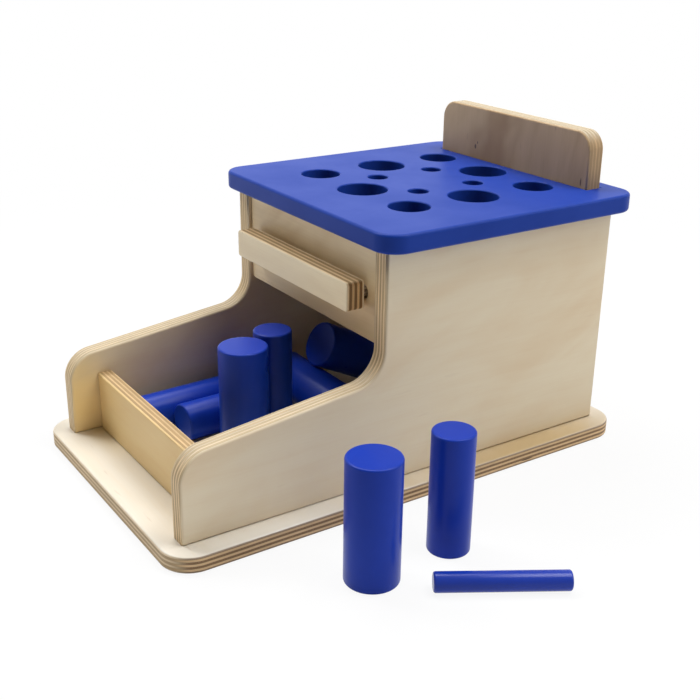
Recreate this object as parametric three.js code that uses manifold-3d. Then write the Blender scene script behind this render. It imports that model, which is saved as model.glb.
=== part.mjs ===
// A wooden drop box: cylinders of three sizes stand in a holed top board on a sliding plate.
// Pulling the bar brings the plate's holes under those of the top board, and all cylinders drop.
// Millimetres, +Z up, front towards -Y. The origin is the centre of the base board's underside.

import * as THREE from 'three';
import { mergeVertices } from 'three/addons/utils/BufferGeometryUtils.js';
import Module from 'manifold-3d';

const wasm = await Module();
wasm.setup();

// Driving dimensions: boards
const sideThick = 12;
const baseThick = 10;
const thinThick = 9.5;
const topThick = 11.4;
const plateThick = 7;

// Driving dimensions: base board, by its margins around the body
const baseCorner = 18;
const baseFrontMargin = 11.1;
const baseRearMargin = 12.3;
const baseSideMargin = 13.3;

// Driving dimensions: body
const innerWidth = 144.4;
const bodyLength = 298.6;
const towerDepth = 170.8;
const towerHeight = 141.2;
const wallFrontHeight = 50.8;
const wallBackHeight = 66;
const wallCorner = 16;
const mouthFillet = 17;

// Driving dimensions: rail, front panel and back board
const railHeight = 38.2;
const railSetback = 17.6;
const panelSetback = 2.5;
const panelHeight = 58.5;
const panelCorner = 3;
const backRise = 34.7;
const backCorner = 12;

// Driving dimensions: top board, by its overhangs past the tower
const topCorner = 14.5;
const topFrontOverhang = 7.5;
const topRearOverhang = 11.1;
const topSideOverhang = 10.8;

// Driving dimensions: cylinders and their holes
const cylinderLength = 71.3;
const largeDiameter = 30;
const mediumDiameter = 24;
const smallDiameter = 11;
const largeHole = 30.8;
const mediumHole = 24.7;
const smallHole = 12.8;
const cylinderGap = 0.3;
const holePitch = 48;
const smallPitch = 43;
const holeFieldSetback = 88.7;

// Driving dimensions: slide
const pullTravel = 24;
const slotSideMargin = 9.9;
const slotHeight = 8.1;
const tonguePlay = 4.8;
const barSideMargin = 8.6;
const barHeight = 17.1;
const barCorner = 2.2;
const barThick = 12;
const barStandoff = 2.9;
const barDrop = 30.5;
const mortiseDepth = 4;
const runnerWidth = 7;
const runnerHeight = 12;

// Driving dimensions: fasteners
const dowelDiameter = 6;
const dowelLength = 20;
const dowelChamfer = 0.8;
const screwLength = 30;
const screwDiameter = 3.5;
const screwHead = 7.4;
const screwHeadDepth = 2.6;
const screwTip = 5;
const screwSink = 0.4;
const recessWidth = 1;
const recessLength = 4;
const recessDepth = 1.6;

// Softened edges
const baseEase = 1.4;
const topEase = 2;
const cylinderEase = 1.3;
const barEase = 0.8;

// Clearances
const glueGap = 0.1;
const seatGap = 0.3;
const slideGap = 0.5;
const plateHolePlay = 0.5;
const overrun = 5;

// Facets
const cornerSteps = 8;
const smallCornerSteps = 4;
const easeSteps = 2;
const roundSteps = { large: 32, medium: 28, small: 20 };
const dowelSteps = 12;
const screwSteps = 12;

// Sizes and places that follow from those above
const cylinderDiameters = { large: largeDiameter, medium: mediumDiameter, small: smallDiameter };
const holeDiameters = { large: largeHole, medium: mediumHole, small: smallHole };
const innerHalf = innerWidth / 2;
const outerHalf = innerHalf + sideThick;
const baseWidth = 2 * (outerHalf + baseSideMargin);
const baseLength = baseFrontMargin + bodyLength + baseRearMargin;
const slotWidth = innerWidth - 2 * slotSideMargin;
const tongueWidth = slotWidth - 2 * tonguePlay;
const barWidth = innerWidth - 2 * barSideMargin;
const topWidth = 2 * (outerHalf + topSideOverhang);
const topDepth = topFrontOverhang + towerDepth + topRearOverhang;
const backHeight = towerHeight + glueGap + topThick + backRise;
const floorZ = baseThick;
const bodyZ = baseThick + glueGap;
const bodyFront = -baseLength / 2 + baseFrontMargin;
const bodyBack = bodyFront + bodyLength;
const towerFront = bodyBack - towerDepth;
const towerTop = bodyZ + towerHeight;
const topZ = towerTop + glueGap;
const railFront = bodyFront + railSetback;
const panelFront = towerFront + panelSetback;
const panelBack = panelFront + thinThick;
const backFront = bodyBack - sideThick;
const topFront = towerFront - topFrontOverhang;
const fieldY = towerFront + holeFieldSetback;
const plateMidZ = towerTop - barDrop;
const plateZ = plateMidZ - plateThick / 2;
const barBack = panelFront - barStandoff;
const shoulderY = panelBack + seatGap + pullTravel;
const lyingZ = floorZ + glueGap;

const birch = new THREE.MeshStandardMaterial({ color: 0xd9c6a5, roughness: 0.6, metalness: 0 });
const paint = new THREE.MeshStandardMaterial({ color: 0x2342b4, roughness: 0.42, metalness: 0 });
const dowelWood = new THREE.MeshStandardMaterial({ color: 0xc9a877, roughness: 0.7, metalness: 0 });
const steel = new THREE.MeshStandardMaterial({ color: 0xb9b9b4, roughness: 0.35, metalness: 1 });

const box = new THREE.Group();

// A closed outline with each corner rounded by its own radius. Corners are [x, y, radius, steps].
function roundedOutline(corners) {
  const points = [];
  corners.forEach(([x, y, radius = 0, steps = 0], i) => {
    const corner = new THREE.Vector2(x, y);
    if (radius === 0) {
      points.push(corner);
      return;
    }
    const [beforeX, beforeY] = corners[(i + corners.length - 1) % corners.length];
    const [afterX, afterY] = corners[(i + 1) % corners.length];
    const towardsBefore = new THREE.Vector2(beforeX - x, beforeY - y).normalize();
    const towardsAfter = new THREE.Vector2(afterX - x, afterY - y).normalize();
    const halfAngle = Math.acos(towardsBefore.dot(towardsAfter)) / 2;
    const bisector = towardsBefore.clone().add(towardsAfter).normalize();
    const centre = corner.clone().addScaledVector(bisector, radius / Math.sin(halfAngle));
    const reach = radius / Math.tan(halfAngle);
    const start = corner.clone().addScaledVector(towardsBefore, reach).sub(centre);
    const end = corner.clone().addScaledVector(towardsAfter, reach).sub(centre);
    const sweep = Math.atan2(start.cross(end), start.dot(end));
    for (let step = 0; step <= steps; step += 1) {
      const spoke = start.clone().rotateAround(new THREE.Vector2(), (sweep * step) / steps);
      points.push(spoke.add(centre));
    }
  });
  return points;
}

function rectangle(width, height, radius, steps) {
  const corners = [[-1, -1], [1, -1], [1, 1], [-1, 1]];
  return roundedOutline(corners.map(([sx, sy]) => [(sx * width) / 2, (sy * height) / 2, radius, steps]));
}

// A board: its outline pulled to its thickness, with softened edges where ease is given
function board(outline, thickness, ease = 0) {
  return new THREE.ExtrudeGeometry(new THREE.Shape(outline), {
    depth: thickness - 2 * ease,
    bevelEnabled: ease > 0,
    bevelThickness: ease,
    bevelSize: ease,
    bevelOffset: -ease,
    bevelSegments: easeSteps,
  }).translate(0, 0, ease);
}

function addPiece(name, geometry, material, position, rotation = [0, 0, 0]) {
  const piece = new THREE.Mesh(geometry, material);
  piece.name = name;
  piece.position.set(...position);
  piece.rotation.set(...rotation);
  box.add(piece);
  piece.updateMatrixWorld();
  return piece;
}

function solidOf(geometry) {
  const bare = geometry.clone();
  bare.deleteAttribute('normal');
  bare.deleteAttribute('uv');
  const merged = mergeVertices(bare);
  return new wasm.Manifold(new wasm.Mesh({
    numProp: 3,
    vertProperties: new Float32Array(merged.attributes.position.array),
    triVerts: new Uint32Array(merged.index.array),
  }));
}

function geometryOf(solid) {
  const { vertProperties, triVerts } = solid.getMesh();
  const geometry = new THREE.BufferGeometry();
  geometry.setAttribute('position', new THREE.BufferAttribute(vertProperties, 3));
  geometry.setIndex(new THREE.BufferAttribute(triVerts, 1));
  return geometry;
}

// Cuts tools, given in the box's own frame, out of a piece
function cut(piece, tools) {
  const toPiece = piece.matrixWorld.clone().invert();
  let solid = solidOf(piece.geometry);
  for (const tool of tools) {
    solid = solid.subtract(solidOf(tool.clone().applyMatrix4(toPiece)));
  }
  piece.geometry = geometryOf(solid);
}

// A round tool standing on its axis from z = low to z = high
function roundTool(diameter, low, high, steps, x, y) {
  const tool = new THREE.CylinderGeometry(diameter / 2, diameter / 2, high - low, steps);
  return tool.rotateX(Math.PI / 2).translate(x, y, (low + high) / 2);
}

// Board attitudes: shape X and Y become box X and Z, or box Y and Z
const facingFront = [Math.PI / 2, 0, 0];
const facingSide = [Math.PI / 2, Math.PI / 2, 0];

// Base board
const baseOutline = rectangle(baseWidth, baseLength, baseCorner, cornerSteps);
const base = addPiece('base_board', board(baseOutline, baseThick, baseEase), birch, [0, 0, 0]);

// Side boards: a low tray wall with a rounded front corner, rising in a fillet to the tower
const towerSetback = bodyLength - towerDepth;
const sideOutline = roundedOutline([
  [0, 0],
  [bodyLength, 0],
  [bodyLength, towerHeight],
  [towerSetback, towerHeight],
  [towerSetback, wallBackHeight, mouthFillet, cornerSteps],
  [0, wallFrontHeight, wallCorner, cornerSteps],
]);
function sideBoard(name, inboardX) {
  return addPiece(name, board(sideOutline, sideThick), birch, [inboardX, bodyFront, bodyZ], facingSide);
}
const leftSide = sideBoard('left_side', -outerHalf);
const rightSide = sideBoard('right_side', innerHalf);

// Boards that stand across, between the side boards
const acrossWidth = innerWidth - 2 * glueGap;
function crossBoard(name, outline, thickness, front, low, ease = 0) {
  return addPiece(name, board(outline, thickness, ease), birch, [0, front + thickness, low], facingFront);
}
function upright(width, height, lowerCorner, upperCorner) {
  return roundedOutline([
    [-width / 2, 0, lowerCorner, smallCornerSteps],
    [width / 2, 0, lowerCorner, smallCornerSteps],
    [width / 2, height, upperCorner, cornerSteps],
    [-width / 2, height, upperCorner, cornerSteps],
  ]);
}
const rail = crossBoard('front_rail', upright(acrossWidth, railHeight, 0, 0), thinThick, railFront, bodyZ);
const mouthZ = towerTop - panelHeight;
const panelOutline = upright(acrossWidth, panelHeight, panelCorner, 0);
const panel = crossBoard('front_panel', panelOutline, thinThick, panelFront, mouthZ);
const backOutline = upright(acrossWidth - 2 * glueGap, backHeight, 0, backCorner);
const back = crossBoard('back_board', backOutline, sideThick, backFront, bodyZ);

// Top board, with its holes and the slot that the back board rises through
const topMiddleY = topFront + topDepth / 2;
const topOutline = rectangle(topWidth, topDepth, topCorner, cornerSteps);
const top = addPiece('top_board', board(topOutline, topThick, topEase), paint, [0, topMiddleY, topZ]);

// The hole pattern: medium at the corners, large at mid-sides, small in a square in the middle
function holePattern() {
  const places = [];
  for (const row of [-1, 0, 1]) {
    for (const column of [-1, 0, 1]) {
      const away = Math.abs(row) + Math.abs(column);
      if (away === 2) places.push(['medium', column * holePitch, row * holePitch]);
      if (away === 1) places.push(['large', column * holePitch, row * holePitch]);
    }
  }
  for (const row of [-1, 1]) {
    for (const column of [-1, 1]) {
      places.push(['small', (column * smallPitch) / 2, (row * smallPitch) / 2]);
    }
  }
  return places;
}
function holeTools(middleY, low, high, play) {
  return holePattern().map(([size, x, y]) => roundTool(
    holeDiameters[size] + 2 * play,
    low - overrun,
    high + overrun,
    roundSteps[size],
    x,
    middleY + y,
  ));
}
cut(top, holeTools(fieldY, topZ, topZ + topThick, 0));
const backSlot = new THREE.BoxGeometry(
  acrossWidth + 2 * seatGap,
  sideThick + 2 * seatGap,
  topThick + 2 * overrun,
).translate(0, backFront + sideThick / 2, topZ + topThick / 2);
cut(top, [backSlot]);

// Slot in the front panel for the plate's tongue
const slot = board(rectangle(slotWidth, slotHeight, slotHeight / 2, cornerSteps), thinThick + 2 * overrun)
  .rotateX(Math.PI / 2)
  .translate(0, panelBack + overrun, plateMidZ);
cut(panel, [slot]);

// Drop plate: at rest its holes lie behind those of the top board by the pull
const plateBack = backFront - seatGap;
const tongueFront = barBack - mortiseDepth + seatGap;
const plateHalf = innerHalf - slideGap;
const plateOutline = roundedOutline([
  [-tongueWidth / 2, tongueFront],
  [tongueWidth / 2, tongueFront],
  [tongueWidth / 2, shoulderY],
  [plateHalf, shoulderY],
  [plateHalf, plateBack],
  [-plateHalf, plateBack],
  [-plateHalf, shoulderY],
  [-tongueWidth / 2, shoulderY],
]);
const plate = addPiece('drop_plate', board(plateOutline, plateThick), birch, [0, 0, plateZ]);
cut(plate, holeTools(fieldY + pullTravel, plateZ, plateZ + plateThick, plateHolePlay));

// Pull bar, with a mortise that the tongue is glued into
const barOutline = rectangle(barWidth, barHeight, barCorner, smallCornerSteps);
const bar = crossBoard('pull_bar', barOutline, barThick, barBack - barThick, plateMidZ, barEase);
const mortise = new THREE.BoxGeometry(
  tongueWidth + 2 * seatGap,
  mortiseDepth + overrun,
  plateThick + 2 * seatGap,
).translate(0, barBack - mortiseDepth + (mortiseDepth + overrun) / 2, plateMidZ);
cut(bar, [mortise]);

// Runners glued inside the side boards, under the plate
const runnerLength = backFront - panelBack - 2 * seatGap;
const runnerMidX = innerHalf - glueGap - runnerWidth / 2;
for (const [name, side] of [['left_runner', -1], ['right_runner', 1]]) {
  const runner = new THREE.BoxGeometry(runnerWidth, runnerLength, runnerHeight);
  addPiece(name, runner, birch, [
    side * runnerMidX,
    (panelBack + backFront) / 2,
    plateZ - seatGap - runnerHeight / 2,
  ]);
}

// A turned piece: profile points are [radius, height] from the axis back to the axis
function turned(profile, steps) {
  return new THREE.LatheGeometry(profile.map(([r, z]) => new THREE.Vector2(r, z)), steps)
    .rotateX(Math.PI / 2);
}

function cylinderGeometry(size) {
  const radius = cylinderDiameters[size] / 2;
  const profile = [[0, 0]];
  for (const [end, start] of [[cylinderEase, -Math.PI / 2], [cylinderLength - cylinderEase, 0]]) {
    for (let step = 0; step <= easeSteps; step += 1) {
      const angle = start + (step * Math.PI) / 2 / easeSteps;
      const r = radius - cylinderEase + cylinderEase * Math.cos(angle);
      profile.push([r, end + cylinderEase * Math.sin(angle)]);
    }
  }
  profile.push([0, cylinderLength]);
  return turned(profile, roundSteps[size]);
}

// Dowels: along X between a side board and a cross board, or up from a side board into the top
function dowelProfile(play) {
  const radius = dowelDiameter / 2 + play;
  return [
    [0, -play],
    [radius - dowelChamfer, -play],
    [radius, dowelChamfer - play],
    [radius, dowelLength - dowelChamfer + play],
    [radius - dowelChamfer, dowelLength + play],
    [0, dowelLength + play],
  ];
}
function addDowel(name, position, rotation, boards) {
  const dowel = addPiece(name, turned(dowelProfile(0), dowelSteps), dowelWood, position, rotation);
  const hole = turned(dowelProfile(seatGap), dowelSteps).applyMatrix4(dowel.matrixWorld);
  boards.forEach((piece) => cut(piece, [hole]));
}
const dowelShares = { inSide: 2 / 3, inTop: 0.55, rail: [0.27, 0.73], panel: [0.2, 0.8], back: [0.25, 0.75] };
const topDowelShares = [0.12, 0.48, 0.84];
const dowelInSide = sideThick * dowelShares.inSide;
const dowelInTop = topThick * dowelShares.inTop;
const sides = [['left', leftSide, -1], ['right', rightSide, 1]];
const crossJoints = [
  ['rail', rail, railFront + thinThick / 2, bodyZ, railHeight],
  ['panel', panel, panelFront + thinThick / 2, mouthZ, panelHeight],
  ['back', back, backFront + sideThick / 2, bodyZ, towerHeight],
];
for (const [sideName, sidePiece, side] of sides) {
  for (const [jointName, piece, y, low, height] of crossJoints) {
    dowelShares[jointName].forEach((share, i) => {
      const x = side * (innerHalf + dowelInSide);
      const name = `${sideName}_${jointName}_dowel_${i + 1}`;
      const attitude = [0, (-side * Math.PI) / 2, 0];
      addDowel(name, [x, y, low + share * height], attitude, [sidePiece, piece]);
    });
  }
  topDowelShares.forEach((share, i) => {
    const x = side * (innerHalf + sideThick / 2);
    const y = towerFront + share * towerDepth;
    const z = topZ + dowelInTop - dowelLength;
    addDowel(`${sideName}_top_dowel_${i + 1}`, [x, y, z], [0, 0, 0], [sidePiece, top]);
  });
}

// Countersunk screws up through the base board, each in a hole of its own shape
function screwProfile(play) {
  const head = screwHead / 2 + play;
  const shank = screwDiameter / 2 + play;
  const mouth = play > 0 ? -overrun : 0;
  return [
    [0, mouth],
    [head, mouth],
    [head, play],
    [shank, screwHeadDepth + play],
    [shank, screwLength - screwTip + play],
    [0, screwLength + play],
  ].filter(([, z], i, all) => i === 0 || z !== all[i - 1][1] || all[i][0] !== all[i - 1][0]);
}
function addScrew(name, x, y, boards) {
  const screw = addPiece(name, turned(screwProfile(0), screwSteps), steel, [x, y, screwSink]);
  const hole = turned(screwProfile(seatGap), screwSteps).applyMatrix4(screw.matrixWorld);
  boards.forEach((piece) => cut(piece, [hole]));
  const recess = [[recessLength, recessWidth], [recessWidth, recessLength]].map(([wide, long]) => (
    new THREE.BoxGeometry(wide, long, 2 * recessDepth).translate(x, y, screwSink)
  ));
  cut(screw, recess);
}
const sideScrewShares = [0.12, 0.5, 0.9];
const crossScrewShares = [-0.3, 0.3];
const screwPlaces = [];
for (const [, sidePiece, side] of sides) {
  for (const share of sideScrewShares) {
    screwPlaces.push([side * (innerHalf + sideThick / 2), bodyFront + share * bodyLength, sidePiece]);
  }
}
for (const share of crossScrewShares) {
  screwPlaces.push([share * innerWidth, railFront + thinThick / 2, rail]);
  screwPlaces.push([share * innerWidth, backFront + sideThick / 2, back]);
}
screwPlaces.forEach(([x, y, piece], i) => addScrew(`base_screw_${i + 1}`, x, y, [base, piece]));

// Loose cylinders. Their places are shares of their own length, in from a side board and along
// from the front rail, from the back board or, for those beside the box, from the body's front.
const spots = {};
function placeSpots(names, shares, originX, originY, ground) {
  names.forEach((name, i) => {
    const [across, along] = shares[i];
    spots[name] = [originX + across * cylinderLength, originY + along * cylinderLength, ground];
  });
}
const besideNames = ['large_cylinder_1', 'medium_cylinder_1', 'small_cylinder_1'];
const besideShares = [[0.9133, 1.0635], [0.8885, 1.7903], [1.536, 1.7695]];
placeSpots(besideNames, besideShares, outerHalf, bodyFront, 0);

const trayNames = ['large_cylinder_2', 'medium_cylinder_2', 'medium_cylinder_3', 'medium_cylinder_4',
  'large_cylinder_3', 'large_cylinder_4'];
const trayShares = [[1.131, 0.7238], [0.9341, 1.1192], [0.6031, 0.8766], [0.2693, 0.6381],
  [0.7044, 1.671], [0.6553, 0]];
placeSpots(trayNames, trayShares, -innerHalf, railFront + thinThick, lyingZ);

const rearNames = ['small_cylinder_2', 'small_cylinder_3', 'small_cylinder_4'];
const rearShares = [[-0.69, -0.58], [-0.42, -0.6], [-0.16, -0.56]];
placeSpots(rearNames, rearShares, innerHalf, backFront, lyingZ);

const lyingNames = ['small_cylinder_1', 'medium_cylinder_3', 'medium_cylinder_4', 'large_cylinder_3',
  ...rearNames];
const headingAngles = [58.8, 92.3, 92.3, 0, 94, 87, 91];

for (const name of ['large_cylinder_1', 'medium_cylinder_1', 'large_cylinder_2', 'medium_cylinder_2']) {
  addPiece(name, cylinderGeometry(name.split('_')[0]), paint, spots[name]);
}
const lyingPieces = {};
lyingNames.forEach((name, i) => {
  const size = name.split('_')[0];
  const [x, y, ground] = spots[name];
  const geometry = cylinderGeometry(size).translate(0, 0, -cylinderLength / 2);
  const piece = addPiece(name, geometry, paint, [x, y, ground + cylinderDiameters[size] / 2]);
  piece.rotation.set(0, Math.PI / 2, THREE.MathUtils.degToRad(headingAngles[i]), 'ZYX');
  lyingPieces[name] = piece;
});

// The last large cylinder leans over the lying one, its lower end on the floor towards the back
const leanAngle = 26;
const lean = THREE.MathUtils.degToRad(leanAngle);
const largeRadius = largeDiameter / 2;
const lowerEndZ = floorZ + cylinderGap + largeRadius * Math.cos(lean);
const prop = lyingPieces.large_cylinder_3.position;
const riseOverProp = (largeDiameter + cylinderGap) / Math.cos(lean);
const lowerEndY = prop.y + (riseOverProp + prop.z - lowerEndZ) / Math.tan(lean);
addPiece(
  'large_cylinder_4',
  cylinderGeometry('large'),
  paint,
  [spots.large_cylinder_4[0], lowerEndY, lowerEndZ],
  [Math.PI / 2 - lean, 0, 0],
);

export default box;
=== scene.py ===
import bpy
import bmesh
import math
from mathutils import Matrix, Vector


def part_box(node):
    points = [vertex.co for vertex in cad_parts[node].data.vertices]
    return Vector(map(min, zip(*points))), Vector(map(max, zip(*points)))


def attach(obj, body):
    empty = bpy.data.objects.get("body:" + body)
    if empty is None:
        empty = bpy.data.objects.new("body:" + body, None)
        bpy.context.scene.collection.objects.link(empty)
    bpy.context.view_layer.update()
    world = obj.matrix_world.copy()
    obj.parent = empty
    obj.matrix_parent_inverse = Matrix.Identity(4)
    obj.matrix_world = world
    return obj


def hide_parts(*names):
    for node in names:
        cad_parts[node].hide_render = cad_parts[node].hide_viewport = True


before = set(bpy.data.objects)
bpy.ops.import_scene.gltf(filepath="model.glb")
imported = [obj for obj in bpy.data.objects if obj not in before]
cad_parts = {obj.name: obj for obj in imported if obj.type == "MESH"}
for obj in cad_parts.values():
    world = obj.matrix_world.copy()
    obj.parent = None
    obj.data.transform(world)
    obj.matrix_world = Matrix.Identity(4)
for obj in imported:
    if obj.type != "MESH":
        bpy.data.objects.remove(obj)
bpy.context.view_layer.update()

scene = bpy.context.scene
mm = 0.001
axisNumber = {"X": 0, "Y": 1, "Z": 2}
white = (1.0, 1.0, 1.0, 1.0)
samePoint = 1e-6  # points nearer than this count as one
hardAngle = 0.6  # edges that turn by more than this, in radians, are drawn hard
parallel = 0.999  # an edge lies along an axis from this cosine on
overshoot = 5 * mm  # how far a cutting tool reaches past the board that it cuts


# camera, at the photograph's viewing angle
camera = {
    "place": (0.53607, -0.34997, 0.32220),
    "right": (0.55416946, 0.83230669, 0.01271957),
    "up": (-0.32159825, 0.19998369, 0.92551666),
    "back": (0.76776998, -0.51698366, 0.37849323),
    "lens": 55.663,
    "sensor": 36.0,
    "clip": (0.01, 60.0),
}


def makeCamera(values):
    data = bpy.data.cameras.new("viewCamera")
    data.lens = values["lens"]
    data.sensor_width = values["sensor"]
    data.clip_start, data.clip_end = values["clip"]
    thing = bpy.data.objects.new("viewCamera", data)
    scene.collection.objects.link(thing)
    turn = Matrix((values["right"], values["up"], values["back"])).transposed()
    thing.matrix_world = Matrix.Translation(values["place"]) @ turn.to_4x4()
    scene.camera = thing


makeCamera(camera)
print("camera set")


# names: left_side gives leftSide for the piece and plyLeftSide for its material
def joinWords(*words):
    return words[0] + "".join(word.capitalize() for word in words[1:])


# node helpers for materials
class Shader:
    def __init__(self, finish, node):
        self.material = bpy.data.materials.new(joinWords(finish, *node.split("_")))
        self.material.use_nodes = True
        self.tree = self.material.node_tree
        self.tree.nodes.clear()
        output = self.tree.nodes.new("ShaderNodeOutputMaterial")
        self.surface = self.tree.nodes.new("ShaderNodeBsdfPrincipled")
        self.join(self.surface.outputs["BSDF"], output.inputs["Surface"])
        coordinates = self.tree.nodes.new("ShaderNodeTexCoord")
        self.place = coordinates.outputs["Object"]
        self.normal = coordinates.outputs["Normal"]

    def join(self, start, end):
        self.tree.links.new(start, end)

    def feed(self, value, socket):
        if isinstance(value, bpy.types.NodeSocket):
            self.join(value, socket)
        elif value is not None:
            socket.default_value = value

    def math(self, operation, a, b=None, c=None, clamp=False):
        node = self.tree.nodes.new("ShaderNodeMath")
        node.operation = operation
        node.use_clamp = clamp
        for number, value in enumerate((a, b, c)):
            self.feed(value, node.inputs[number])
        return node.outputs["Value"]

    def plus(self, a, b):
        return self.math("ADD", a, b)

    def minus(self, a, b):
        return self.math("SUBTRACT", a, b)

    def times(self, a, b):
        return self.math("MULTIPLY", a, b)

    def timesPlus(self, a, b, c, clamp=False):
        return self.math("MULTIPLY_ADD", a, b, c, clamp)

    def absolute(self, a):
        return self.math("ABSOLUTE", a)

    def vector(self, operation, a, b=None, output="Vector"):
        node = self.tree.nodes.new("ShaderNodeVectorMath")
        node.operation = operation
        self.feed(a, node.inputs[0])
        self.feed(b, node.inputs[1])
        return node.outputs[output]

    def split(self, vector):
        node = self.tree.nodes.new("ShaderNodeSeparateXYZ")
        self.join(vector, node.inputs[0])
        return {name: node.outputs[name] for name in "XYZ"}

    def combine(self, x, y, z):
        node = self.tree.nodes.new("ShaderNodeCombineXYZ")
        for value, name in zip((x, y, z), "XYZ"):
            self.feed(value, node.inputs[name])
        return node.outputs["Vector"]

    def noise(self, vector, scale, detail=2.0, roughness=0.5, distortion=0.0):
        node = self.tree.nodes.new("ShaderNodeTexNoise")
        self.join(vector, node.inputs["Vector"])
        node.inputs["Scale"].default_value = scale
        node.inputs["Detail"].default_value = detail
        node.inputs["Roughness"].default_value = roughness
        node.inputs["Distortion"].default_value = distortion
        return node.outputs[0]

    def spread(self, value, low, high, newLow=0.0, newHigh=1.0, smooth=False):
        node = self.tree.nodes.new("ShaderNodeMapRange")
        node.interpolation_type = "SMOOTHSTEP" if smooth else "LINEAR"
        node.clamp = True
        self.join(value, node.inputs["Value"])
        node.inputs["From Min"].default_value = low
        node.inputs["From Max"].default_value = high
        node.inputs["To Min"].default_value = newLow
        node.inputs["To Max"].default_value = newHigh
        return node.outputs["Result"]

    def mix(self, share, a, b, blend="MIX"):
        node = self.tree.nodes.new("ShaderNodeMix")
        node.data_type = "RGBA"
        node.blend_type = blend
        self.feed(share, node.inputs["Factor"])
        for value, name in ((a, "A"), (b, "B")):
            socket = [s for s in node.inputs if s.name == name and s.type == "RGBA"][0]
            self.feed((*value, 1.0) if isinstance(value, tuple) else value, socket)
        return [s for s in node.outputs if s.type == "RGBA"][0]

    def colour(self, value):
        self.join(value, self.surface.inputs["Base Color"])

    def roughness(self, value):
        self.join(value, self.surface.inputs["Roughness"])

    def bump(self, height, strength, distance):
        node = self.tree.nodes.new("ShaderNodeBump")
        node.inputs["Strength"].default_value = strength
        node.inputs["Distance"].default_value = distance
        self.join(height, node.inputs["Height"])
        self.join(node.outputs["Normal"], self.surface.inputs["Normal"])


# plywood: face veneer with figure, cut edges with bands of plies
plywood = {
    "face": (0.810, 0.690, 0.485),
    "warm": (0.755, 0.585, 0.375),  # shows in the figure, by these four shares
    "cloud": 0.55,
    "ring": 0.10,
    "hair": 0.25,
    "fibre": 0.22,
    "figureTurn": 0.0,  # how far the clouds turn from the grain, in radians
    "fleck": (0.400, 0.240, 0.130),
    "flecks": 0.06,
    # on a cut edge: first the plies seen along their grain, then those that show end grain
    "along": ((0.880, 0.740, 0.530), (0.600, 0.460, 0.290)),
    "across": ((0.700, 0.580, 0.400), (0.520, 0.390, 0.225)),
    "waviness": 0.36,  # how far the plies waver, in plies
    "glue": (0.160, 0.085, 0.040),
    "glueShare": 0.40,
    "skinShare": 0.65,  # how much of the veneer shows on the outermost plies
    "blushes": (),  # wide soft patches of painted light and shade: centre, radii, colour
    "marks": (),  # small knots on faces and core voids on edges: centre, radii
    "markColour": (0.045, 0.022, 0.012),
    "faceRoughness": 0.40,
    "edgeRoughness": 0.60,
    "bump": (0.12, 0.0003),
    "waveScale": 22.0, "poreScale": 2300.0, "streakScale": 60.0, "toneScale": 3.7,
    "cloudScale": 21.0, "fibreScale": 900.0, "hairScale": 160.0, "speckScale": 330.0,
    "rings": {"Scale": 22.0, "Distortion": 7.0, "Detail": 2.0, "Detail Scale": 1.1},
}


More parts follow.
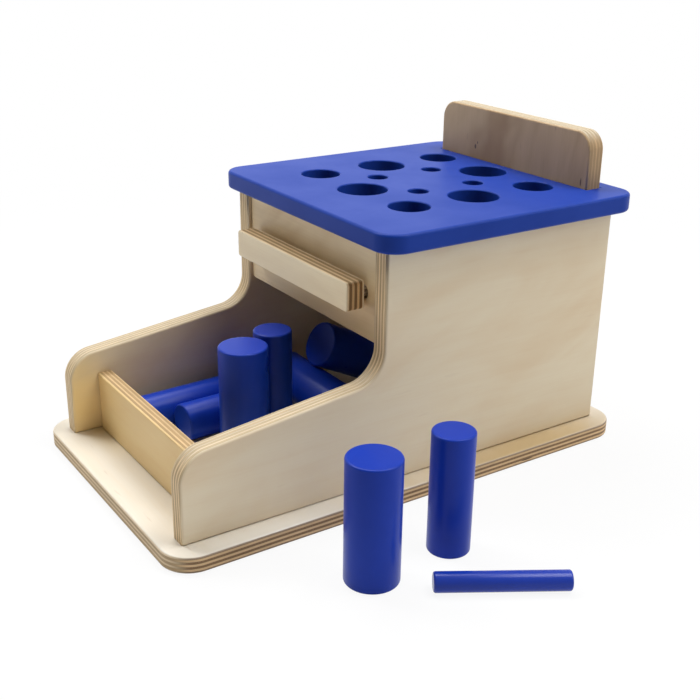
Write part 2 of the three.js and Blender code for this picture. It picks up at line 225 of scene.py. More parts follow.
def plyMaterial(node, thickAxis, grainAxis, plies, seed, look):
    values = {**plywood, **look}
    shader = Shader("ply", node)
    acrossAxis = ({"X", "Y", "Z"} - {thickAxis, grainAxis}).pop()
    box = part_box(node)
    number = axisNumber[thickAxis]
    low, thick = box[0][number], box[1][number] - box[0][number]
    place, normal = shader.split(shader.place), shader.split(shader.normal)
    grain, across = place[grainAxis], place[acrossAxis]
    depth = shader.minus(place[thickAxis], low)

    # bands: ply index along the thickness, a little wavy
    waves = shader.noise(shader.combine(grain, across, seed), values["waveScale"], 1.0)
    shift = shader.timesPlus(waves, values["waviness"], -values["waviness"] / 2)
    ply = shader.timesPlus(depth, plies / thick, shift)
    pair = shader.math("FRACT", shader.times(ply, 0.5))
    outer = shader.spread(shader.absolute(shader.minus(pair, 0.25)), 0.222, 0.278, 1.0, 0.0, True)
    inner = shader.minus(1.0, outer)
    seam = shader.math("FRACT", shader.plus(ply, 0.5))
    glueLine = shader.spread(shader.absolute(shader.minus(seam, 0.5)), 0.02, 0.11, 1.0, 0.0)
    plyNumber = shader.math("FLOOR", ply)
    ownTone = shader.noise(shader.combine(plyNumber, seed, seed), values["toneScale"], 0.0)

    # the outer plies show end grain on edges that face along the grain, the inner ones on the rest
    alongNormal = shader.absolute(normal[grainAxis])
    acrossNormal = shader.plus(shader.absolute(normal[acrossAxis]), 0.001)
    facing = shader.math("DIVIDE", alongNormal, shader.plus(alongNormal, acrossNormal))
    grainEdge = shader.spread(facing, 0.30, 0.70, 0.0, 1.0, True)
    pores = shader.noise(shader.combine(grain, across, depth), values["poreScale"], 2.0, 0.6)
    pores = shader.spread(pores, 0.3, 0.7, 0.78, 1.0)
    alongColour = shader.mix(shader.times(outer, pores), *values["along"])
    acrossColour = shader.mix(shader.times(inner, pores), *values["across"])
    edgeColour = shader.mix(grainEdge, acrossColour, alongColour)
    streakPlace = shader.combine(grain, across, shader.times(depth, 9.0))
    streaks = shader.noise(streakPlace, values["streakScale"], 4.0, 0.65)
    shade = shader.spread(streaks, 0.30, 0.75, 1.06, 0.80)
    shade = shader.times(shade, shader.spread(ownTone, 0.3, 0.7, 0.92, 1.08))
    edgeColour = shader.mix(1.0, edgeColour, shader.combine(shade, shade, shade), "MULTIPLY")
    edgeColour = shader.mix(shader.times(glueLine, values["glueShare"]), edgeColour, values["glue"])
    rim = shader.math("MINIMUM", depth, shader.minus(thick, depth))
    skin = shader.spread(rim, 0.6 * thick / plies, 0.9 * thick / plies, values["skinShare"], 0.0, True)
    edgeColour = shader.mix(skin, edgeColour, values["face"])

    # face veneer: clouds, faint rings, long fibres, hairs and a few flecks, not the same on both faces
    side = shader.math("FLOOR", shader.times(depth, 1.0 / thick + 1.0))
    slide = shader.plus(side, seed)

    def drawnOut(share, third):
        return shader.combine(shader.times(grain, share), across, third)

    sine, cosine = math.sin(values["figureTurn"]), math.cos(values["figureTurn"])
    length = shader.plus(shader.times(grain, cosine), shader.times(across, sine))
    width = shader.minus(shader.times(across, cosine), shader.times(grain, sine))
    cloudPlace = shader.combine(shader.times(length, 0.40), width, slide)
    clouds = shader.noise(cloudPlace, values["cloudScale"], 3.0, 0.55, 0.6)
    rings = shader.tree.nodes.new("ShaderNodeTexWave")
    rings.wave_type = "BANDS"
    rings.bands_direction = "Y"
    shader.join(drawnOut(0.22, slide), rings.inputs["Vector"])
    for name, setting in values["rings"].items():
        rings.inputs[name].default_value = setting
    fibres = shader.noise(drawnOut(0.03, seed), values["fibreScale"], 3.0, 0.65)
    hairs = shader.noise(drawnOut(0.07, slide), values["hairScale"], 3.0, 0.6)
    specks = shader.noise(drawnOut(0.16, seed + 3.0), values["speckScale"], 1.0, 0.4)
    warmShare = shader.times(shader.spread(clouds, 0.40, 0.70, 0.0, 1.0, True), values["cloud"])
    warmShare = shader.timesPlus(shader.spread(rings.outputs[1], 0.1, 0.95), values["ring"], warmShare)
    warmShare = shader.timesPlus(shader.spread(hairs, 0.50, 0.72), values["hair"], warmShare, clamp=True)
    faceColour = shader.mix(warmShare, values["face"], values["warm"])
    fibreShare = shader.spread(fibres, 0.45, 0.80, 0.0, values["fibre"])
    faceColour = shader.mix(fibreShare, faceColour, values["warm"])
    fleckShare = shader.spread(specks, 0.71, 0.79, 0.0, values["flecks"])
    faceColour = shader.mix(fleckShare, faceColour, values["fleck"])

    onFace = shader.spread(shader.absolute(normal[thickAxis]), 0.60, 0.85, 0.0, 1.0, True)
    colour = shader.mix(onFace, edgeColour, faceColour)

    # 0 at the middle of an ellipsoid and 1 on its skin, which a noise makes uneven
    def ellipsoid(centre, radii, noise, amount):
        offset = shader.vector("SUBTRACT", shader.place, centre)
        away = shader.vector("LENGTH", shader.vector("DIVIDE", offset, radii), output="Value")
        return shader.timesPlus(noise, amount, shader.minus(away, amount / 2))

    # painted light and shade: soft patches that lighten some faces and darken others, where light and
    # shadow fall
    for centre, radii, tone in values["blushes"]:
        away = ellipsoid(centre, radii, clouds, 0.8)
        share = shader.times(shader.spread(away, 0.1, 1.0, 0.85, 0.0, True), onFace)
        colour = shader.mix(share, colour, tone)
    for centre, radii in values["marks"]:
        away = ellipsoid(centre, radii, fibres, 0.5)
        colour = shader.mix(shader.spread(away, 0.65, 1.1, 0.85, 0.0, True), colour, values["markColour"])
    shader.colour(colour)

    edgeRoughness = values["edgeRoughness"]
    gloss = shader.timesPlus(onFace, values["faceRoughness"] - edgeRoughness, edgeRoughness)
    shader.roughness(shader.plus(shader.spread(clouds, 0.3, 0.7, -0.05, 0.05), gloss))
    shader.bump(shader.timesPlus(fibres, 0.6, shader.times(glueLine, -0.35)), *values["bump"])
    return shader.material


# satin paint, for the top board and the cylinders; the small cylinders are glossier
paint = {
    "patchScale": 26.0, "mistScale": 620.0, "bump": (0.06, 0.0002),
    "top": {
        "colour": (0.0100, 0.0470, 0.3350), "deep": (0.0080, 0.0410, 0.3000),
        "worn": (0.0400, 0.0950, 0.4500), "roughness": 0.40, "specular": 0.12,
    },
    "cylinder": {
        "colour": (0.0080, 0.0430, 0.4150), "deep": (0.0068, 0.0370, 0.3700),
        "worn": (0.0360, 0.0950, 0.5100), "roughness": 0.30, "specular": 0.15,
    },
    "small": {
        "colour": (0.0055, 0.0380, 0.4000), "deep": (0.0045, 0.0330, 0.3550),
        "worn": (0.0300, 0.0900, 0.4950), "roughness": 0.25, "specular": 0.28,
    },
}


def paintMaterial(node, kind, seed):
    values = paint[kind]
    shader = Shader("paint", node)
    place = shader.vector("ADD", shader.place, (seed, seed * 0.7, 0.0))
    patches = shader.noise(place, paint["patchScale"], 3.0, 0.55)
    mist = shader.noise(place, paint["mistScale"], 2.0, 0.6)
    colour = shader.mix(shader.spread(patches, 0.35, 0.7), values["colour"], values["deep"])
    shader.colour(shader.mix(shader.spread(mist, 0.62, 0.8, 0.0, 0.08), colour, values["worn"]))
    roughness = values["roughness"]
    shader.roughness(shader.spread(patches, 0.3, 0.75, roughness - 0.03, roughness + 0.05))
    shader.surface.inputs["Specular IOR Level"].default_value = values["specular"]
    shader.bump(shader.timesPlus(patches, 0.1, mist), *paint["bump"])
    return shader.material


# beech dowels and zinc-plated screws
beech = {
    "light": (0.62, 0.44, 0.27), "dark": (0.46, 0.30, 0.17), "cloud": (0.70, 0.54, 0.36),
    "fibreScale": 700.0, "cloudScale": 60.0, "bump": (0.2, 0.0002),
}
zinc = {
    "bright": (0.62, 0.62, 0.60), "yellow": (0.66, 0.60, 0.46),
    "wearScale": 900.0, "tintScale": 160.0, "bump": (0.15, 0.0001),
}


def dowelMaterial(values):
    shader = Shader("beech", "dowel")
    fibres = shader.noise(shader.place, values["fibreScale"], 3.0, 0.6)
    clouds = shader.noise(shader.place, values["cloudScale"], 2.0)
    colour = shader.mix(shader.spread(fibres, 0.35, 0.7), values["light"], values["dark"])
    shader.colour(shader.mix(shader.spread(clouds, 0.3, 0.7, 0.0, 0.3), colour, values["cloud"]))
    shader.roughness(shader.spread(fibres, 0.3, 0.7, 0.62, 0.78))
    shader.bump(fibres, *values["bump"])
    return shader.material


def screwMaterial(values):
    shader = Shader("zinc", "screw")
    wear = shader.noise(shader.place, values["wearScale"], 3.0, 0.6)
    tint = shader.noise(shader.place, values["tintScale"], 1.0)
    shader.colour(shader.mix(shader.spread(tint, 0.35, 0.7), values["bright"], values["yellow"]))
    shader.surface.inputs["Metallic"].default_value = 1.0
    shader.roughness(shader.spread(wear, 0.3, 0.75, 0.24, 0.42))
    shader.bump(wear, *values["bump"])
    return shader.material


# making and placing pieces
def addRod(form, radius, low, high, x, y, segments):
    made = bmesh.ops.create_cone(form, cap_ends=True, segments=segments, radius1=radius, radius2=radius,
                                 depth=high - low)
    bmesh.ops.translate(form, vec=(x, y, (low + high) / 2), verts=made["verts"])


def addBlock(form, low, high):
    low, high = Vector(low), Vector(high)
    made = bmesh.ops.create_cube(form, size=1.0)
    bmesh.ops.scale(form, vec=high - low, verts=made["verts"])
    bmesh.ops.translate(form, vec=(low + high) / 2, verts=made["verts"])


def slab(box):
    form = bmesh.new()
    addBlock(form, *box)
    return form


def roundEdges(form, edges, radius, segments):
    bmesh.ops.bevel(form, geom=edges, offset=radius, offset_type="OFFSET", segments=segments,
                    profile=0.5, affect="EDGES", clamp_overlap=False, material=-1)


def middleOf(edge):
    return (edge.verts[0].co + edge.verts[1].co) / 2


def edgesAlong(form, axis, where=None):
    number = axisNumber[axis]
    found = []
    for edge in form.edges:
        step = edge.verts[1].co - edge.verts[0].co
        if abs(step[number]) > parallel * step.length and (where is None or where(middleOf(edge))):
            found.append(edge)
    return found


def weightLayer(form):
    # how much of the Bevel modifier's width each edge gets
    layers = form.edges.layers.float
    return layers.get("bevel_weight_edge") or layers.new("bevel_weight_edge")


def isHard(edge):
    return len(edge.link_faces) == 2 and edge.calc_face_angle(0.0) > hardAngle


def softenRims(form, box, thickAxis, weightOf=None):
    # gives the rims of the board's two faces a bevel weight, the whole width if weightOf isn't given
    number = axisNumber[thickAxis]
    layer = weightLayer(form)
    for edge in form.edges:
        levels = [v.co[number] for v in edge.verts]
        onRim = any(all(abs(level - corner[number]) < samePoint for level in levels) for corner in box)
        if onRim and isHard(edge):
            edge[layer] = weightOf(edge) if weightOf else 1.0


def toPiece(form, node, material, body, ease=0.0, easeSteps=3):
    # the piece takes the name of the CAD node that it replaces
    bmesh.ops.remove_doubles(form, verts=form.verts, dist=samePoint)
    bmesh.ops.recalc_face_normals(form, faces=form.faces)
    layer = weightLayer(form)
    for face in form.faces:
        face.smooth = bool(ease) or len(face.verts) <= 4  # a cylinder's ends stay flat
    for edge in form.edges:
        edge.smooth = not isHard(edge) or edge[layer] > 0.0
    name = joinWords(*node.split("_"))
    mesh = bpy.data.meshes.new(name)
    form.to_mesh(mesh)
    form.free()
    mesh.materials.append(material)
    piece = bpy.data.objects.new(name, mesh)
    scene.collection.objects.link(piece)
    if ease:
        soften = piece.modifiers.new("softEdges", "BEVEL")
        soften.limit_method = "WEIGHT"
        soften.width = ease
        soften.segments = easeSteps
        soften.profile = 0.5
        soften.harden_normals = True
        soften.use_clamp_overlap = False
    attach(piece, body)
    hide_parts(node)


def cutAway(form, cutters):
    # takes the cutters out of a form with a Boolean modifier and gives the result back
    def holder(name, content):
        mesh = bpy.data.meshes.new(name)
        bmesh.ops.recalc_face_normals(content, faces=content.faces)
        content.to_mesh(mesh)
        content.free()
        thing = bpy.data.objects.new(name, mesh)
        scene.collection.objects.link(thing)
        return thing

    body = holder("cutBody", form)
    tools = holder("cutTools", cutters)
    cut = body.modifiers.new("cut", "BOOLEAN")
    cut.operation = "DIFFERENCE"
    cut.solver = "EXACT"
    cut.object = tools
    bpy.context.view_layer.update()
    result = bmesh.new()
    result.from_object(body, bpy.context.evaluated_depsgraph_get())
    for thing in (body, tools):
        mesh = thing.data
        bpy.data.objects.remove(thing)
        bpy.data.meshes.remove(mesh)
    return result


# base board
baseBoard = {
    "corner": 18 * mm, "cornerSteps": 20, "ease": 1.3 * mm, "plies": 7, "seed": 1.7,
    "screwPlay": 0.3 * mm, "screwPocket": 2.6 * mm, "screwSegments": 32,
    "shortEdge": 1.2 * mm,  # the rims of the screw holes have shorter edges than this and stay sharp
    "look": {
        # face: partly the birch's own colour, partly a painted sheen that makes it paler and whiter than
        # the other boards
        "face": (0.860, 0.800, 0.690), "warm": (0.820, 0.715, 0.540), "cloud": 0.40, "flecks": 0.20,
        "along": ((0.780, 0.540, 0.290), (0.170, 0.085, 0.028)), "skinShare": 0.22,
        "across": ((0.770, 0.600, 0.375), (0.440, 0.295, 0.145)),
        "blushes": (
            # painted shade: darker, warmer patch on the back of the right ledge, beside the tower
            ((98 * mm, 80 * mm, 10 * mm), (45 * mm, 140 * mm, 30 * mm), (0.575, 0.400, 0.170)),
            # painted light: paler patch on the front of the right ledge, beside the side board
            ((96 * mm, -98 * mm, 10 * mm), (17 * mm, 54 * mm, 30 * mm), (0.990, 0.940, 0.830)),
            # painted shade: warmer, darker patch on the base near the left end of the rail
            ((-60 * mm, -128 * mm, 10 * mm), (50 * mm, 22 * mm, 30 * mm), (0.860, 0.750, 0.540)),
        ),
        "marks": (((97.5 * mm, 80.4 * mm, 2.8 * mm), (3.0 * mm, 5.2 * mm, 0.55 * mm)),),
    },
}
screwNodes = sorted(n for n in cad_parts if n.startswith("base_screw"))


def makeBaseBoard(values):
    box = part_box("base_board")
    form = slab(box)
    roundEdges(form, edgesAlong(form, "Z"), values["corner"], values["cornerSteps"])
    holes = bmesh.new()
    for node in screwNodes:
        low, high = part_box(node)
        x, y = (low.x + high.x) / 2, (low.y + high.y) / 2
        radius = (high.x - low.x) / 2 + values["screwPlay"]
        bottom, top = box[0].z - overshoot, low.z + values["screwPocket"]
        addRod(holes, radius, bottom, top, x, y, values["screwSegments"])
    form = cutAway(form, holes)
    softenRims(form, box, "Z", lambda edge: 1.0 if edge.calc_length() > values["shortEdge"] else 0.0)
    material = plyMaterial("base_board", "Z", "X", values["plies"], values["seed"], values["look"])
    toPiece(form, "base_board", material, "case", values["ease"])


makeBaseBoard(baseBoard)
print("base board made")


# side boards: an outline with a low tray wall in front and the tower behind it
sideBoards = {
    "wallFront": 50.8 * mm, "wallBack": 66.0 * mm, "towerDepth": 170.8 * mm, "frontCorner": 16 * mm,
    "fillet": 17 * mm, "cornerSteps": 16, "ease": 1.7 * mm, "plies": 9,
    "left_side": {
        "seed": 4.1,
        "look": {
            "face": (0.810, 0.680, 0.460), "warm": (0.760, 0.580, 0.350), "cloud": 0.60,
            "figureTurn": 0.35,
            "blushes": (
                # painted light: warm, honey-coloured bounce light on the inner face in front of the rail
                ((-72 * mm, -150 * mm, 30 * mm), (6 * mm, 38 * mm, 45 * mm), (0.960, 0.690, 0.280)),
            ),
            "along": ((0.840, 0.660, 0.400), (0.530, 0.365, 0.185)), "glueShare": 0.50,
        },
    },
    "right_side": {
        "seed": 8.3,
        "look": {
            "face": (0.840, 0.722, 0.515), "warm": (0.775, 0.608, 0.395), "cloud": 0.65,
            "figureTurn": 0.35, "skinShare": 0.40,
            # along: the edge plies' own colour, darkened and warmed as painted shade on the tower's front
            # edge under the top board
            "along": ((0.830, 0.640, 0.385), (0.500, 0.335, 0.170)), "glueShare": 0.50,
        },
    },
}


def makeSideBoard(values, node):
    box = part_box(node)
    low, high = box
    towerFront = high.y - values["towerDepth"]
    wallBack, wallFront = low.z + values["wallBack"], low.z + values["wallFront"]
    outline = (
        (low.y, low.z), (high.y, low.z), (high.y, high.z), (towerFront, high.z),
        (towerFront, wallBack), (low.y, wallFront),
    )
    form = bmesh.new()
    face = form.faces.new([form.verts.new((low.x, y, z)) for y, z in outline])
    moved = bmesh.ops.extrude_face_region(form, geom=[face])["geom"]
    shift = [v for v in moved if isinstance(v, bmesh.types.BMVert)]
    bmesh.ops.translate(form, vec=(high.x - low.x, 0, 0), verts=shift)
    rounded = ((low.y, wallFront, values["frontCorner"]), (towerFront, wallBack, values["fillet"]))
    for y, z, radius in rounded:
        edges = edgesAlong(form, "X", lambda m: abs(m.y - y) < mm and abs(m.z - z) < mm)
        roundEdges(form, edges, radius, values["cornerSteps"])
    softenRims(form, box, "X")
    own = values[node]
    material = plyMaterial(node, "X", "Y", values["plies"], own["seed"], own["look"])
    toPiece(form, node, material, "case", values["ease"])


makeSideBoard(sideBoards, "left_side")
makeSideBoard(sideBoards, "right_side")
print("side boards made")


# rail, front panel and back board
crossBoards = {
    "front_rail": {
        "ease": 1.0 * mm, "plies": 7, "grain": "X", "seed": 2.9,
        "look": {
            "face": (0.815, 0.595, 0.272), "warm": (0.750, 0.480, 0.192), "cloud": 0.55,
            "across": ((0.680, 0.480, 0.245), (0.410, 0.255, 0.105)), "glueShare": 0.50,
        },
    },
    "front_panel": {
        "ease": 0.9 * mm, "plies": 7, "grain": "X", "seed": 5.2,
        "corner": 3 * mm, "cornersAtTop": False, "cornerSteps": 14,
        "slot": {"width": 124.6 * mm, "height": 8.1 * mm, "dropFromTop": 30.5 * mm, "endSteps": 10},
        "look": {
            # face: partly the panel's own honey colour, partly painted light that lifts it against the top
            # board's shade
            "face": (0.880, 0.700, 0.430), "warm": (0.660, 0.465, 0.235), "cloud": 0.75,
            "figureTurn": 0.5,
            "blushes": (
                # painted shadow of the pull bar on the panel below it
                ((10 * mm, -22 * mm, 98 * mm), (90 * mm, 20 * mm, 14 * mm), (0.560, 0.405, 0.210)),
            ),
            "across": ((0.560, 0.400, 0.220), (0.400, 0.260, 0.130)),
        },
    },
    "back_board": {
        "ease": 1.3 * mm, "plies": 9, "grain": "Z", "seed": 6.6,
        "corner": 12 * mm, "cornersAtTop": True, "cornerSteps": 14,
        "look": {
            # painted shade: face and warm colours far darker and less blue than the other boards', for the
            # shade on this board's front and the blue light bounced from the top board
            "face": (0.610, 0.415, 0.215), "warm": (0.400, 0.240, 0.105), "cloud": 0.95, "flecks": 0.50,
            "hair": 0.10, "figureTurn": 0.25,
            "marks": (
                ((-35.1 * mm, 133.0 * mm, 170.6 * mm), (1.1 * mm, 9.0 * mm, 1.9 * mm)),
                ((66.6 * mm, 133.0 * mm, 166.2 * mm), (0.7 * mm, 9.0 * mm, 3.2 * mm)),
                ((-33.0 * mm, 133.0 * mm, 173.5 * mm), (0.6 * mm, 9.0 * mm, 1.2 * mm)),
            ),
            "across": ((0.500, 0.330, 0.170), (0.390, 0.250, 0.115)),
            "along": ((0.610, 0.520, 0.365), (0.400, 0.300, 0.180)),
        },
    },
}


def slotTool(values, low, high):
    # a bar with round ends; a hair under half its height keeps the ends from closing to a line
    middle = high.z - values["dropFromTop"]
    half, tall = values["width"] / 2, values["height"] / 2
    tool = bmesh.new()
    addBlock(tool, (-half, low.y - overshoot, middle - tall), (half, high.y + overshoot, middle + tall))
    roundEdges(tool, edgesAlong(tool, "Y"), tall * 0.999, values["endSteps"])
    return tool


def makeCrossBoard(node, values):
    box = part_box(node)
    low, high = box
    form = slab(box)
    if "corner" in values:
        level = high.z if values["cornersAtTop"] else low.z
        corners = edgesAlong(form, "Y", lambda m: abs(m.z - level) < mm)
        roundEdges(form, corners, values["corner"], values["cornerSteps"])
    if "slot" in values:
        form = cutAway(form, slotTool(values["slot"], low, high))
    softenRims(form, box, "Y")
    material = plyMaterial(node, "Y", values["grain"], values["plies"], values["seed"], values["look"])
    toPiece(form, node, material, "case", values["ease"])


for node, values in crossBoards.items():
    makeCrossBoard(node, values)
print("rail, front panel and back board made")


# top board
holeField = {
    "middleY": 66.6 * mm, "pitch": 48 * mm, "smallPitch": 43 * mm, "segments": 72,
    "radii": {"large": 15.4 * mm, "medium": 12.35 * mm, "small": 6.4 * mm},
}
topBoard = {
    "corner": 14.5 * mm, "cornerSteps": 18, "ease": 2.0 * mm, "easeSteps": 4, "seed": 0.3,
    "slotWidth": 144.8 * mm, "slotDepth": 12.6 * mm,  # for the back board
    "outsideZone": 10 * mm, "outsideZoneBack": 6 * mm,  # rims nearer the outline get the whole ease
    "holeShare": 0.5,  # and those of the holes and the slot this share of it
}


def holePlaces(values):
    # three rows of three with medium holes at the corners and none in the middle, and four small holes
    places = []
    for row in (-1, 0, 1):
        for column in (-1, 0, 1):
            away = abs(row) + abs(column)
            if away:
                size = "medium" if away == 2 else "large"
                places.append((size, column * values["pitch"], row * values["pitch"]))
    for row in (-0.5, 0.5):
        for column in (-0.5, 0.5):
            places.append(("small", column * values["smallPitch"], row * values["smallPitch"]))
    return places


def holeTools(values, low, high, shiftY=0.0, grow=0.0):
    tools = bmesh.new()
    middleY = values["middleY"] + shiftY
    for size, x, y in holePlaces(values):
        radius = values["radii"][size] + grow
        addRod(tools, radius, low.z - overshoot, high.z + overshoot, x, middleY + y, values["segments"])
    return tools


def makeTopBoard(values):
    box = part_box("top_board")
    low, high = box
    form = slab(box)
    roundEdges(form, edgesAlong(form, "Z"), values["corner"], values["cornerSteps"])
    tools = holeTools(holeField, low, high)
    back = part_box("back_board")
    middleY = (back[0].y + back[1].y) / 2
    wide, deep = values["slotWidth"] / 2, values["slotDepth"] / 2
    addBlock(tools, (-wide, middleY - deep, low.z - overshoot), (wide, middleY + deep, high.z + overshoot))
    form = cutAway(form, tools)
    zone, zoneBack = values["outsideZone"], values["outsideZoneBack"]

    def rimWeight(edge):
        middle = middleOf(edge)
        outside = abs(middle.x) > high.x - zone or middle.y < low.y + zone or middle.y > high.y - zoneBack
        return 1.0 if outside else values["holeShare"]

    softenRims(form, box, "Z", rimWeight)
    material = paintMaterial("top_board", "top", values["seed"])
    toPiece(form, "top_board", material, "case", values["ease"], values["easeSteps"])


makeTopBoard(topBoard)
print("top board made")


# drop plate, pull bar and runners
dropPlate = {
    "tongueHalf": 57.5 * mm, "shoulder": 14.2 * mm, "travel": 24 * mm, "holePlay": 0.5 * mm,
    "ease": 0.4 * mm, "easeSteps": 2, "plies": 5, "seed": 9.4,
}


def makeDropPlate(values):
    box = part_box("drop_plate")
    low, high = box
    form = slab(box)
    tools = holeTools(holeField, low, high, values["travel"], values["holePlay"])
    for side in (-1, 1):
        ends = sorted((side * values["tongueHalf"], side * (high.x + overshoot)))
        front = (ends[0], low.y - overshoot, low.z - overshoot)
        addBlock(tools, front, (ends[1], values["shoulder"], high.z + overshoot))
    form = cutAway(form, tools)
    softenRims(form, box, "Z")
    material = plyMaterial("drop_plate", "Z", "X", values["plies"], values["seed"], {})
    toPiece(form, "drop_plate", material, "slider", values["ease"], values["easeSteps"])


pullBar = {
    "corner": 2.2 * mm, "cornerSteps": 8, "ease": 0.7 * mm, "plies": 7, "seed": 3.3,
    "mortise": 4 * mm, "mortiseGap": 0.3 * mm,
    "outsideZone": 3 * mm,  # only rims nearer the outline than this are eased
    "look": {
        "face": (0.940, 0.800, 0.545), "cloud": 0.40, "hair": 0.12,
        "across": ((0.800, 0.580, 0.320), (0.400, 0.245, 0.095)),
        "along": ((0.250, 0.125, 0.038), (0.820, 0.520, 0.220)),
    },
}


def makePullBar(values):
    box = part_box("pull_bar")
    low, high = box
    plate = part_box("drop_plate")
    form = slab(box)
    roundEdges(form, edgesAlong(form, "Y"), values["corner"], values["cornerSteps"])
    tool = bmesh.new()
    gap = values["mortiseGap"]
    half = dropPlate["tongueHalf"] + gap
    front = (-half, high.y - values["mortise"], plate[0].z - gap)
    addBlock(tool, front, (half, high.y + overshoot, plate[1].z + gap))
    form = cutAway(form, tool)

    def rimWeight(edge):
        middle = middleOf(edge)
        away = min(high.x - abs(middle.x), middle.z - low.z, high.z - middle.z)
        return 1.0 if away < values["outsideZone"] else 0.0

    softenRims(form, box, "Y", rimWeight)
    material = plyMaterial("pull_bar", "Y", "X", values["plies"], values["seed"], values["look"])
    toPiece(form, "pull_bar", material, "slider", values["ease"])


runners = {
    "ease": 0.5 * mm, "easeSteps": 2, "plies": 5,
    "seeds": {"left_runner": 1.1, "right_runner": 2.2},
}


def makeRunner(values, node):
    form = slab(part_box(node))
    layer = weightLayer(form)
    for edge in form.edges:
        edge[layer] = 1.0
    material = plyMaterial(node, "X", "Y", values["plies"], values["seeds"][node], {})
    toPiece(form, node, material, "case", values["ease"], values["easeSteps"])


makeDropPlate(dropPlate)
makePullBar(pullBar)
makeRunner(runners, "left_runner")
makeRunner(runners, "right_runner")
print("drop plate, pull bar and runners made")


# cylinders: they stand, unless they have a heading on the floor or a slope, both in degrees
cylinders = {
    "length": 71.3 * mm, "ease": 1.2 * mm, "easeSteps": 4, "segments": 96,
    "diameters": {"large": 30 * mm, "medium": 24 * mm, "small": 11 * mm},
    "headings": {
        "large_cylinder_3": 0.0, "medium_cylinder_3": 92.3, "medium_cylinder_4": 92.3,
        "small_cylinder_1": 58.8, "small_cylinder_2": 94.0, "small_cylinder_3": 87.0,
        "small_cylinder_4": 91.0,
    },
    "slopes": {"large_cylinder_4": 26.0},
    "seeds": (1.0, 0.37),  # the first cylinder's, and the step to the next
}


def makeCylinder(values, node, number):
    size = node.split("_")[0]
    radius = values["diameters"][size] / 2
    low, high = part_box(node)
    form = bmesh.new()
    bmesh.ops.create_cone(form, cap_ends=True, segments=values["segments"], radius1=radius, radius2=radius,
                          depth=values["length"])
    rims = [e for e in form.edges if abs(e.verts[0].co.z - e.verts[1].co.z) < samePoint]
    roundEdges(form, rims, values["ease"], values["easeSteps"])
    turn = Matrix.Identity(3)
    if node in values["headings"]:
        heading = math.radians(values["headings"][node])
        laidDown = Matrix.Rotation(math.radians(90.0), 3, "Y")
        turn = Matrix.Rotation(heading, 3, "Z") @ laidDown
    elif node in values["slopes"]:
        turn = Matrix.Rotation(math.radians(90.0 - values["slopes"][node]), 3, "X")
    bmesh.ops.rotate(form, cent=(0, 0, 0), matrix=turn, verts=form.verts)
    bmesh.ops.translate(form, vec=(low + high) / 2, verts=form.verts)
    seed, step = values["seeds"]
    material = paintMaterial(node, "small" if size == "small" else "cylinder", seed + number * step)
    toPiece(form, node, material, node)


cylinderNodes = sorted(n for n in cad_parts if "_cylinder_" in n)
for number, node in enumerate(cylinderNodes):
    makeCylinder(cylinders, node, number)
print("cylinders made:", len(cylinderNodes))


# dowels and screws keep their solids
dowelWood = dowelMaterial(beech)
screwMetal = screwMaterial(zinc)
for name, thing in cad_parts.items():
    if "_dowel_" in name or name in screwNodes:
        thing.data.materials.clear()
        thing.data.materials.append(dowelWood if "_dowel_" in name else screwMetal)
print("dowels and screws finished")


# floor and light
studio = {
    "floorSize": 12.0, "floorSegments": 4, "floorColour": (0.90, 0.90, 0.90),
    # how bright the floor looks beside the object and far from it, and where those begin, in metres
    "glowNear": 0.90, "glowFar": 1.0, "nearReach": 0.22, "farReach": 0.75,
    "worldFill": 0.01,
    "aim": (0.0, 0.0, 0.06),
    "lamps": (
        ("overhead", (-0.56, 0.09, 1.48), (0.8, 0.8), 13.2),
        ("skyLamp", (0.36, 0.50, 1.42), (0.9, 0.6), 13.0),
        ("backLamp", (1.00, 0.95, 0.95), (0.8, 0.8), 6.0),
        ("frontLamp", (-0.80, -0.55, 1.34), (0.4, 0.4), 8.8),
        ("lowLamp", (-0.90, -1.00, 0.16), (1.0, 0.2), 1.0),
    ),
}


def seenRays(tree):
    # 1 for rays that show a surface to the camera, straight, mirrored or through glass, and 0 for light
    path = tree.nodes.new("ShaderNodeLightPath")
    seen = path.outputs["Is Camera Ray"]
    for name in ("Is Glossy Ray", "Is Transmission Ray"):
        either = tree.nodes.new("ShaderNodeMath")
        either.operation = "MAXIMUM"
        tree.links.new(seen, either.inputs[0])
        tree.links.new(path.outputs[name], either.inputs[1])
        seen = either.outputs[0]
    return seen


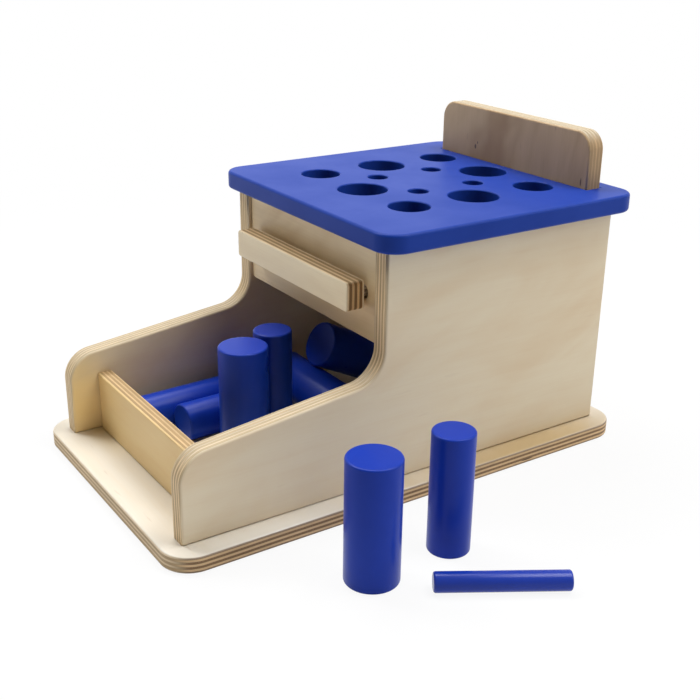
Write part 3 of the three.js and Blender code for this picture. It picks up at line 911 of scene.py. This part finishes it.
def floorMaterial(values):
    # pale and matte, and lit from itself to near white where it is seen, so that a faint shadow is left
    material = bpy.data.materials.new("paleFloor")
    material.use_nodes = True
    tree = material.node_tree
    tree.nodes.clear()
    output = tree.nodes.new("ShaderNodeOutputMaterial")
    matte = tree.nodes.new("ShaderNodeBsdfDiffuse")
    matte.inputs["Color"].default_value = (*values["floorColour"], 1.0)
    glow = tree.nodes.new("ShaderNodeEmission")
    glow.inputs["Color"].default_value = white
    coordinates = tree.nodes.new("ShaderNodeTexCoord")
    away = tree.nodes.new("ShaderNodeVectorMath")
    away.operation = "LENGTH"
    reach = tree.nodes.new("ShaderNodeMapRange")
    reach.interpolation_type = "SMOOTHSTEP"
    reach.inputs["From Min"].default_value = values["nearReach"]
    reach.inputs["From Max"].default_value = values["farReach"]
    reach.inputs["To Min"].default_value = values["glowNear"]
    reach.inputs["To Max"].default_value = values["glowFar"]
    share = tree.nodes.new("ShaderNodeMath")
    share.operation = "MULTIPLY"
    mixer = tree.nodes.new("ShaderNodeMixShader")
    link = tree.links.new
    link(coordinates.outputs["Object"], away.inputs[0])
    link(away.outputs["Value"], reach.inputs["Value"])
    link(seenRays(tree), share.inputs[0])
    link(reach.outputs["Result"], share.inputs[1])
    link(share.outputs[0], mixer.inputs["Fac"])
    link(matte.outputs[0], mixer.inputs[1])
    link(glow.outputs[0], mixer.inputs[2])
    link(mixer.outputs[0], output.inputs["Surface"])
    return material


def makeFloor(values):
    form = bmesh.new()
    steps = values["floorSegments"]
    bmesh.ops.create_grid(form, x_segments=steps, y_segments=steps, size=values["floorSize"] / 2)
    mesh = bpy.data.meshes.new("floor")
    form.to_mesh(mesh)
    form.free()
    mesh.materials.append(floorMaterial(values))
    floor = bpy.data.objects.new("floor", mesh)
    scene.collection.objects.link(floor)


def makeLamp(name, place, size, power, target):
    data = bpy.data.lights.new(name, "AREA")
    data.shape = "RECTANGLE"
    data.size, data.size_y = size
    data.energy = power
    lamp = bpy.data.objects.new(name, data)
    scene.collection.objects.link(lamp)
    aim = Vector(target) - Vector(place)
    lamp.rotation_mode = "QUATERNION"
    lamp.rotation_quaternion = aim.to_track_quat("-Z", "Y")
    lamp.location = place


def makeWorld(values):
    # white where it is seen, and almost no light of its own
    world = bpy.data.worlds.new("studioWorld")
    scene.world = world
    world.use_nodes = True
    tree = world.node_tree
    tree.nodes.clear()
    output = tree.nodes.new("ShaderNodeOutputWorld")
    sky = tree.nodes.new("ShaderNodeBackground")
    sky.inputs["Color"].default_value = white
    strength = tree.nodes.new("ShaderNodeMath")
    strength.operation = "MAXIMUM"
    strength.inputs[1].default_value = values["worldFill"]
    tree.links.new(seenRays(tree), strength.inputs[0])
    tree.links.new(strength.outputs[0], sky.inputs["Strength"])
    tree.links.new(sky.outputs[0], output.inputs["Surface"])


makeFloor(studio)
for lampName, lampPlace, lampSize, lampPower in studio["lamps"]:
    makeLamp(lampName, lampPlace, lampSize, lampPower, studio["aim"])
makeWorld(studio)
scene.view_settings.view_transform = "Standard"
print("studio set")
